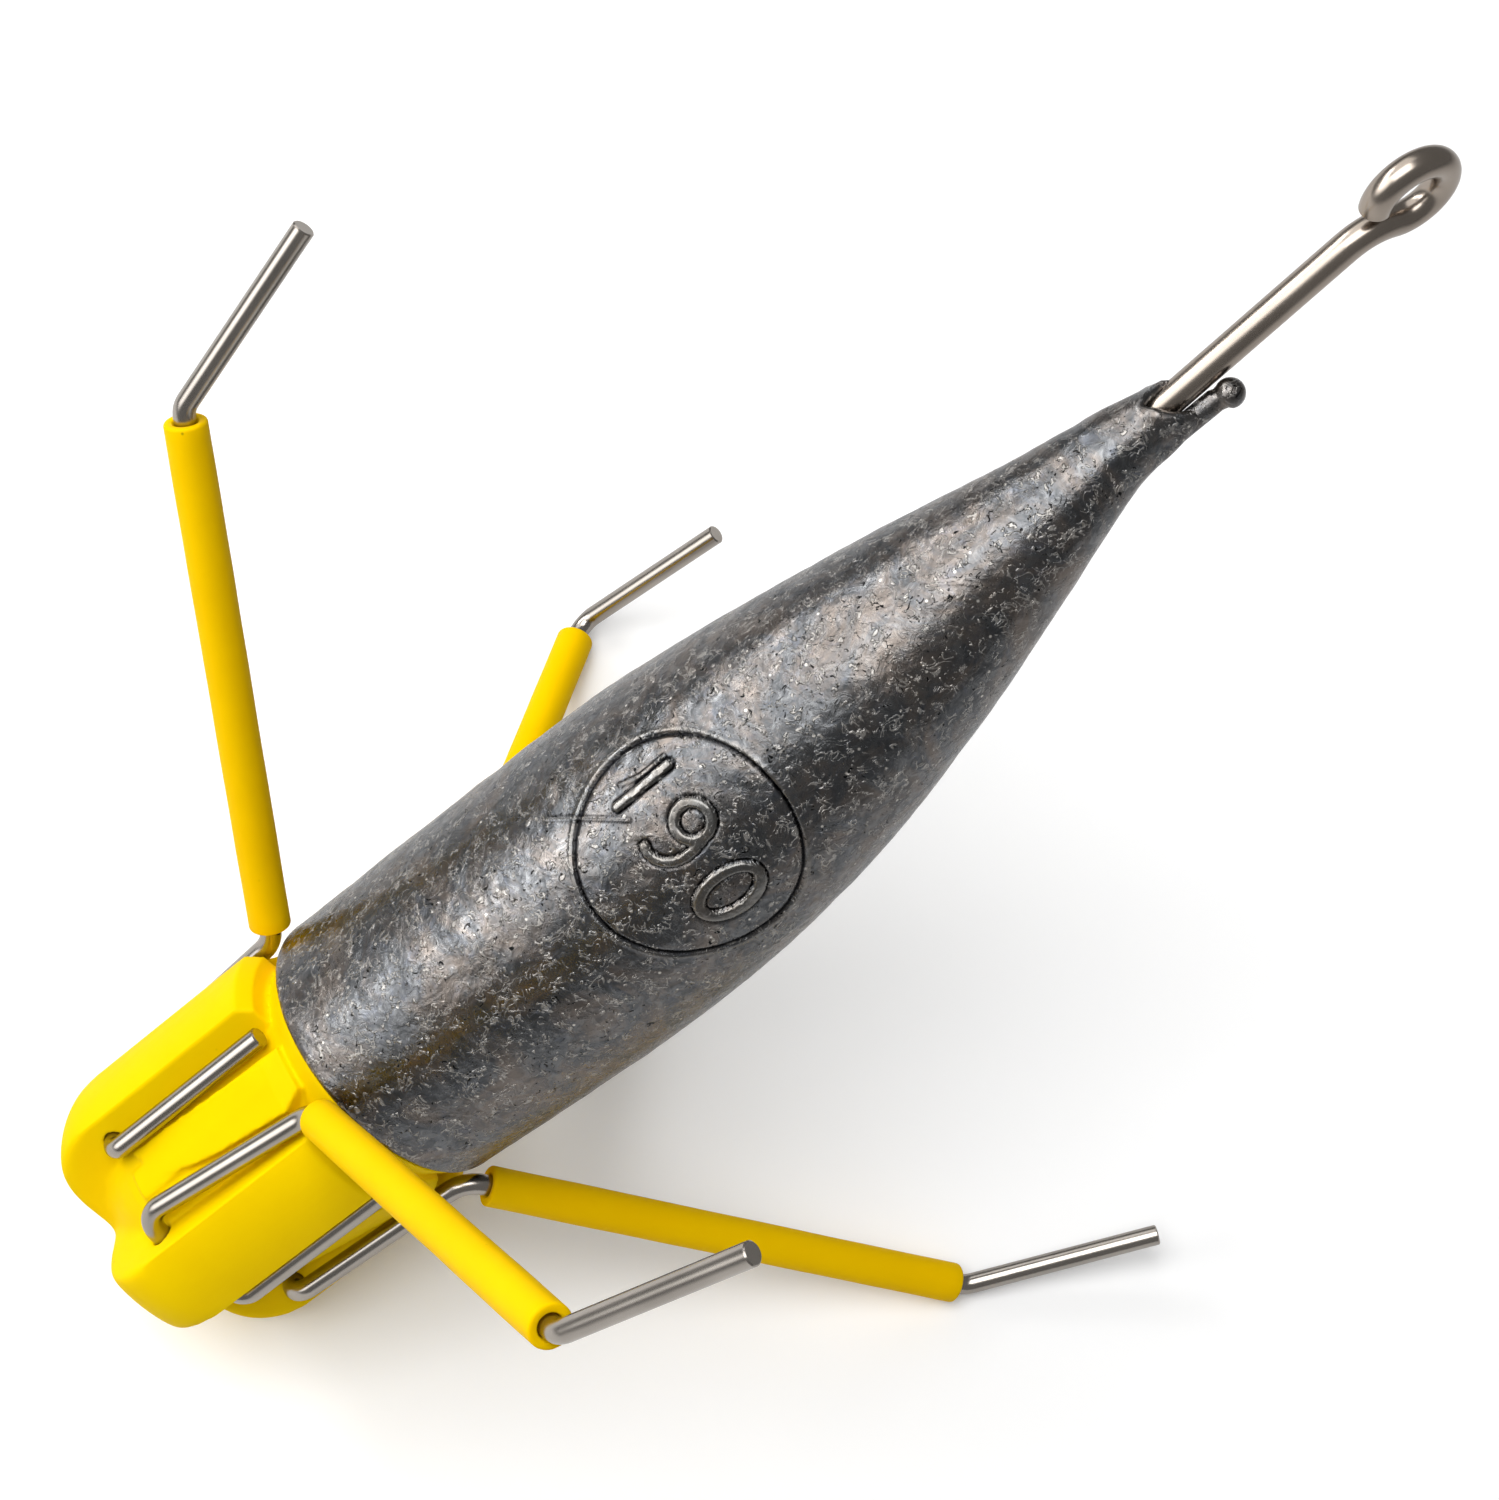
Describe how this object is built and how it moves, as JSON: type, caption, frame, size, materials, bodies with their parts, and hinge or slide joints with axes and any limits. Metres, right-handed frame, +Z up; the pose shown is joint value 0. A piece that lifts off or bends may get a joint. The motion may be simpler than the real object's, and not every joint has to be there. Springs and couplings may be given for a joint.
{
  "type": "fishing sinker",
  "caption": "Cast lead surf sinker with a wire eye at its tail and a moulded nose that carries hinged, sleeved grip wires which break away under load.",
  "frame": {"origin": "centre of the bounding box, on the floor that the two lower sleeves and the nose rest on", "axes": "+Z up, +X along the floor towards the tail eye, which is raised, +Y to the left when looking towards the tail"},
  "size_m": [0.0974, 0.0714, 0.0796],
  "materials": {
    "cast_lead": "dull cast lead, dark and mottled",
    "stainless_wire": "satin drawn wire",
    "yellow_plastic": "moulded, slightly glossy"
  },
  "bodies": {
    "sinker": {"lead_body": "cast_lead", "tail_wire": "stainless_wire", "nose_head": "yellow_plastic"},
    "arm_1": {"grip_wire_1": "stainless_wire"},
    "arm_2": {"grip_wire_2": "stainless_wire"},
    "arm_3": {"grip_wire_3": "stainless_wire"},
    "arm_4": {"grip_wire_4": "stainless_wire"},
    "sleeve_1": {"wire_sleeve_1": "yellow_plastic"},
    "sleeve_2": {"wire_sleeve_2": "yellow_plastic"},
    "sleeve_3": {"wire_sleeve_3": "yellow_plastic"},
    "sleeve_4": {"wire_sleeve_4": "yellow_plastic"}
  },
  "joints": [
    {"name": "grip_wire_1_hinge", "type": "hinge", "parent": "sinker", "child": "arm_1", "pos_m": [-0.03568, 0.00515, 0.00512], "axis": [-0.4246, 0.7137, 0.5571], "range_deg": [0, 130]},
    {"name": "wire_sleeve_1_turn", "type": "hinge", "parent": "arm_1", "child": "sleeve_1", "pos_m": [-0.00671, 0.01653, 0.00633], "axis": [0.6951, 0.6673, -0.2674], "continuous": true},
    {"name": "grip_wire_2_hinge", "type": "hinge", "parent": "sinker", "child": "arm_2", "pos_m": [-0.04296, 0.00526, 0.01468], "axis": [-0.4326, -0.7005, 0.5676], "range_deg": [0, 130]},
    {"name": "wire_sleeve_2_turn", "type": "hinge", "parent": "arm_2", "child": "sleeve_2", "pos_m": [-0.02567, 0.02093, 0.0389], "axis": [0.1671, 0.5813, 0.7963], "continuous": true},
    {"name": "grip_wire_3_hinge", "type": "hinge", "parent": "sinker", "child": "arm_3", "pos_m": [-0.04303, -0.00676, 0.01477], "axis": [0.4246, -0.7137, -0.5571], "range_deg": [0, 130]},
    {"name": "wire_sleeve_3_turn", "type": "hinge", "parent": "arm_3", "child": "sleeve_3", "pos_m": [-0.03119, -0.01837, 0.04255], "axis": [0.0747, -0.6693, 0.7392], "continuous": true},
    {"name": "grip_wire_4_hinge", "type": "hinge", "parent": "sinker", "child": "arm_4", "pos_m": [-0.03574, -0.00687, 0.00521], "axis": [0.4326, 0.7005, -0.5676], "range_deg": [0, 130]},
    {"name": "wire_sleeve_4_turn", "type": "hinge", "parent": "arm_4", "child": "sleeve_4", "pos_m": [-0.00843, -0.02106, 0.00858], "axis": [0.7739, -0.5037, -0.384], "continuous": true}
  ]
}
